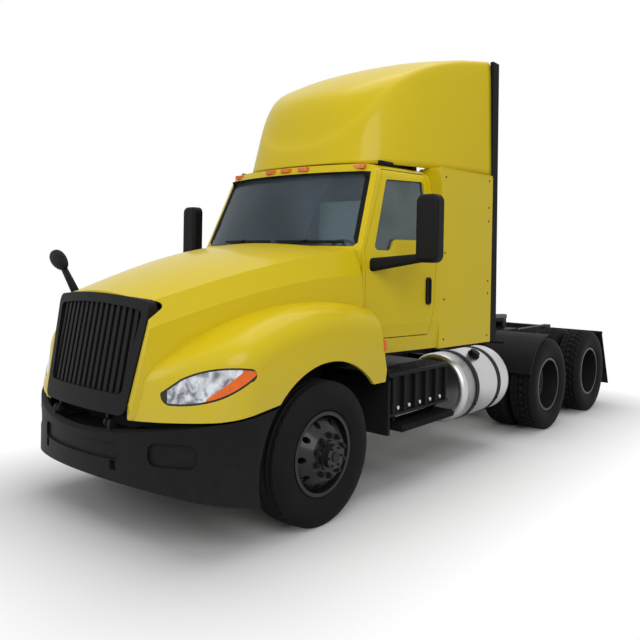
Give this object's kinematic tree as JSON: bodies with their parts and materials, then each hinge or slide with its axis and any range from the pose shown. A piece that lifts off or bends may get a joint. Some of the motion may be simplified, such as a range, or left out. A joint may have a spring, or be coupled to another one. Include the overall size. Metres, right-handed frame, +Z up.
{
  "type": "semi truck tractor unit",
  "caption": "Conventional day cab semi truck tractor with tilting hood, opening doors, steered front wheels, dual drive wheels, roof fairing, side extenders and a tilting fifth wheel.",
  "frame": {"origin": "on the ground below the middle of the overall length, on the truck's centre plane", "axes": "+X forward, +Y to the driver's left, +Z up"},
  "size_m": [7.23, 3.1, 3.9847],
  "materials": {
    "body_paint": "gloss yellow paint",
    "black_plastic": "moulded black plastic",
    "chassis_paint": "satin black chassis paint",
    "wheel_paint": "gloss black",
    "tyre": "matt black",
    "glass": "lightly tinted",
    "aluminium": "bright brushed",
    "lamp_clear": "clear lens",
    "lamp_amber": "amber lens",
    "lamp_red": "red lens",
    "rubber": "matt",
    "seat_cloth": "woven",
    "cast_iron": "bare casting"
  },
  "bodies": {
    "chassis": {"cab_shell": "body_paint", "roof_fairing": "body_paint", "side_extenders": "body_paint", "front_bumper": "black_plastic", "dashboard": "black_plastic", "steering_wheel": "black_plastic", "step_boxes": "black_plastic", "lower_steps": "black_plastic", "quarter_fenders": "black_plastic", "frame_rails": "chassis_paint", "crossmembers": "chassis_paint", "front_axle": "chassis_paint", "front_springs": "chassis_paint", "drive_axles": "chassis_paint", "rear_suspension": "chassis_paint", "drive_shafts": "chassis_paint", "tank_straps": "chassis_paint", "cab_mounts": "chassis_paint", "fifth_wheel_base": "chassis_paint", "engine": "cast_iron", "fuel_tanks": "aluminium", "radiator": "aluminium", "cab_glass": "glass", "roof_markers": "lamp_amber", "tail_lamps": "lamp_red", "extender_edges": "rubber", "splash_guards": "rubber", "mud_flaps": "rubber", "seats": "seat_cloth"},
    "hood": {"hood": "body_paint", "grille_surround": "black_plastic", "grille_bars": "black_plastic", "headlamps": "lamp_clear", "turn_lamps": "lamp_amber", "hood_mirror": "black_plastic"},
    "door_left": {"door_left": "body_paint", "door_glass_left": "glass", "door_mirror_left": "black_plastic"},
    "door_right": {"door_right": "body_paint", "door_glass_right": "glass", "door_mirror_right": "black_plastic"},
    "knuckle_left": {"knuckle_left": "chassis_paint"},
    "knuckle_right": {"knuckle_right": "chassis_paint"},
    "tie_rod": {"tie_rod": "chassis_paint"},
    "steer_wheel_left": {"tyre_steer_left": "tyre", "wheel_steer_left": "wheel_paint"},
    "steer_wheel_right": {"tyre_steer_right": "tyre", "wheel_steer_right": "wheel_paint"},
    "fifth_wheel": {"fifth_wheel_plate": "cast_iron"},
    "drive_wheels_forward_left": {"tyres_forward_left": "tyre", "wheels_forward_left": "wheel_paint"},
    "drive_wheels_forward_right": {"tyres_forward_right": "tyre", "wheels_forward_right": "wheel_paint"},
    "drive_wheels_rear_left": {"tyres_rear_left": "tyre", "wheels_rear_left": "wheel_paint"},
    "drive_wheels_rear_right": {"tyres_rear_right": "tyre", "wheels_rear_right": "wheel_paint"}
  },
  "joints": [
    {"name": "steer_left", "type": "hinge", "parent": "chassis", "child": "knuckle_left", "pos_m": [2.335, 0.87, 0.519], "axis": [0, 0, 1], "range_deg": [-40, 40]},
    {"name": "steer_right", "type": "hinge", "parent": "chassis", "child": "knuckle_right", "pos_m": [2.335, -0.87, 0.519], "axis": [0, 0, 1], "range_deg": [-40, 40]},
    {"name": "tie_rod_pivot", "type": "hinge", "parent": "knuckle_left", "child": "tie_rod", "pos_m": [2.12, 0.87, 0.385], "axis": [0, 0, 1], "range_deg": [-40, 40]},
    {"name": "steer_spin_left", "type": "hinge", "parent": "knuckle_left", "child": "steer_wheel_left", "pos_m": [2.335, 1.031, 0.519], "axis": [0, 1, 0], "continuous": true},
    {"name": "drive_spin_forward_left", "type": "hinge", "parent": "chassis", "child": "drive_wheels_forward_left", "pos_m": [-1.555, 0.919, 0.519], "axis": [0, 1, 0], "continuous": true},
    {"name": "drive_spin_rear_left", "type": "hinge", "parent": "chassis", "child": "drive_wheels_rear_left", "pos_m": [-2.875, 0.919, 0.519], "axis": [0, 1, 0], "continuous": true},
    {"name": "steer_spin_right", "type": "hinge", "parent": "knuckle_right", "child": "steer_wheel_right", "pos_m": [2.335, -1.031, 0.519], "axis": [0, 1, 0], "continuous": true},
    {"name": "drive_spin_forward_right", "type": "hinge", "parent": "chassis", "child": "drive_wheels_forward_right", "pos_m": [-1.555, -0.919, 0.519], "axis": [0, 1, 0], "continuous": true},
    {"name": "drive_spin_rear_right", "type": "hinge", "parent": "chassis", "child": "drive_wheels_rear_right", "pos_m": [-2.875, -0.919, 0.519], "axis": [0, 1, 0], "continuous": true},
    {"name": "hood_tilt", "type": "hinge", "parent": "chassis", "child": "hood", "pos_m": [3.53, 0, 0.812], "axis": [0, 1, 0], "range_deg": [0, 65]},
    {"name": "door_left_swing", "type": "hinge", "parent": "chassis", "child": "door_left", "pos_m": [1.65, 0.97818, 1.95], "axis": [0, 0, -1], "range_deg": [0, 65]},
    {"name": "door_right_swing", "type": "hinge", "parent": "chassis", "child": "door_right", "pos_m": [1.65, -0.97818, 1.95], "axis": [0, 0, 1], "range_deg": [0, 65]},
    {"name": "fifth_wheel_tilt", "type": "hinge", "parent": "chassis", "child": "fifth_wheel", "pos_m": [-2.045, 0, 1.105], "axis": [0, 1, 0], "range_deg": [-10, 10]}
  ],
  "couplings": [
    {"joint": "steer_right", "follows": "steer_left", "ratio": 1},
    {"joint": "tie_rod_pivot", "follows": "steer_left", "ratio": -1}
  ]
}
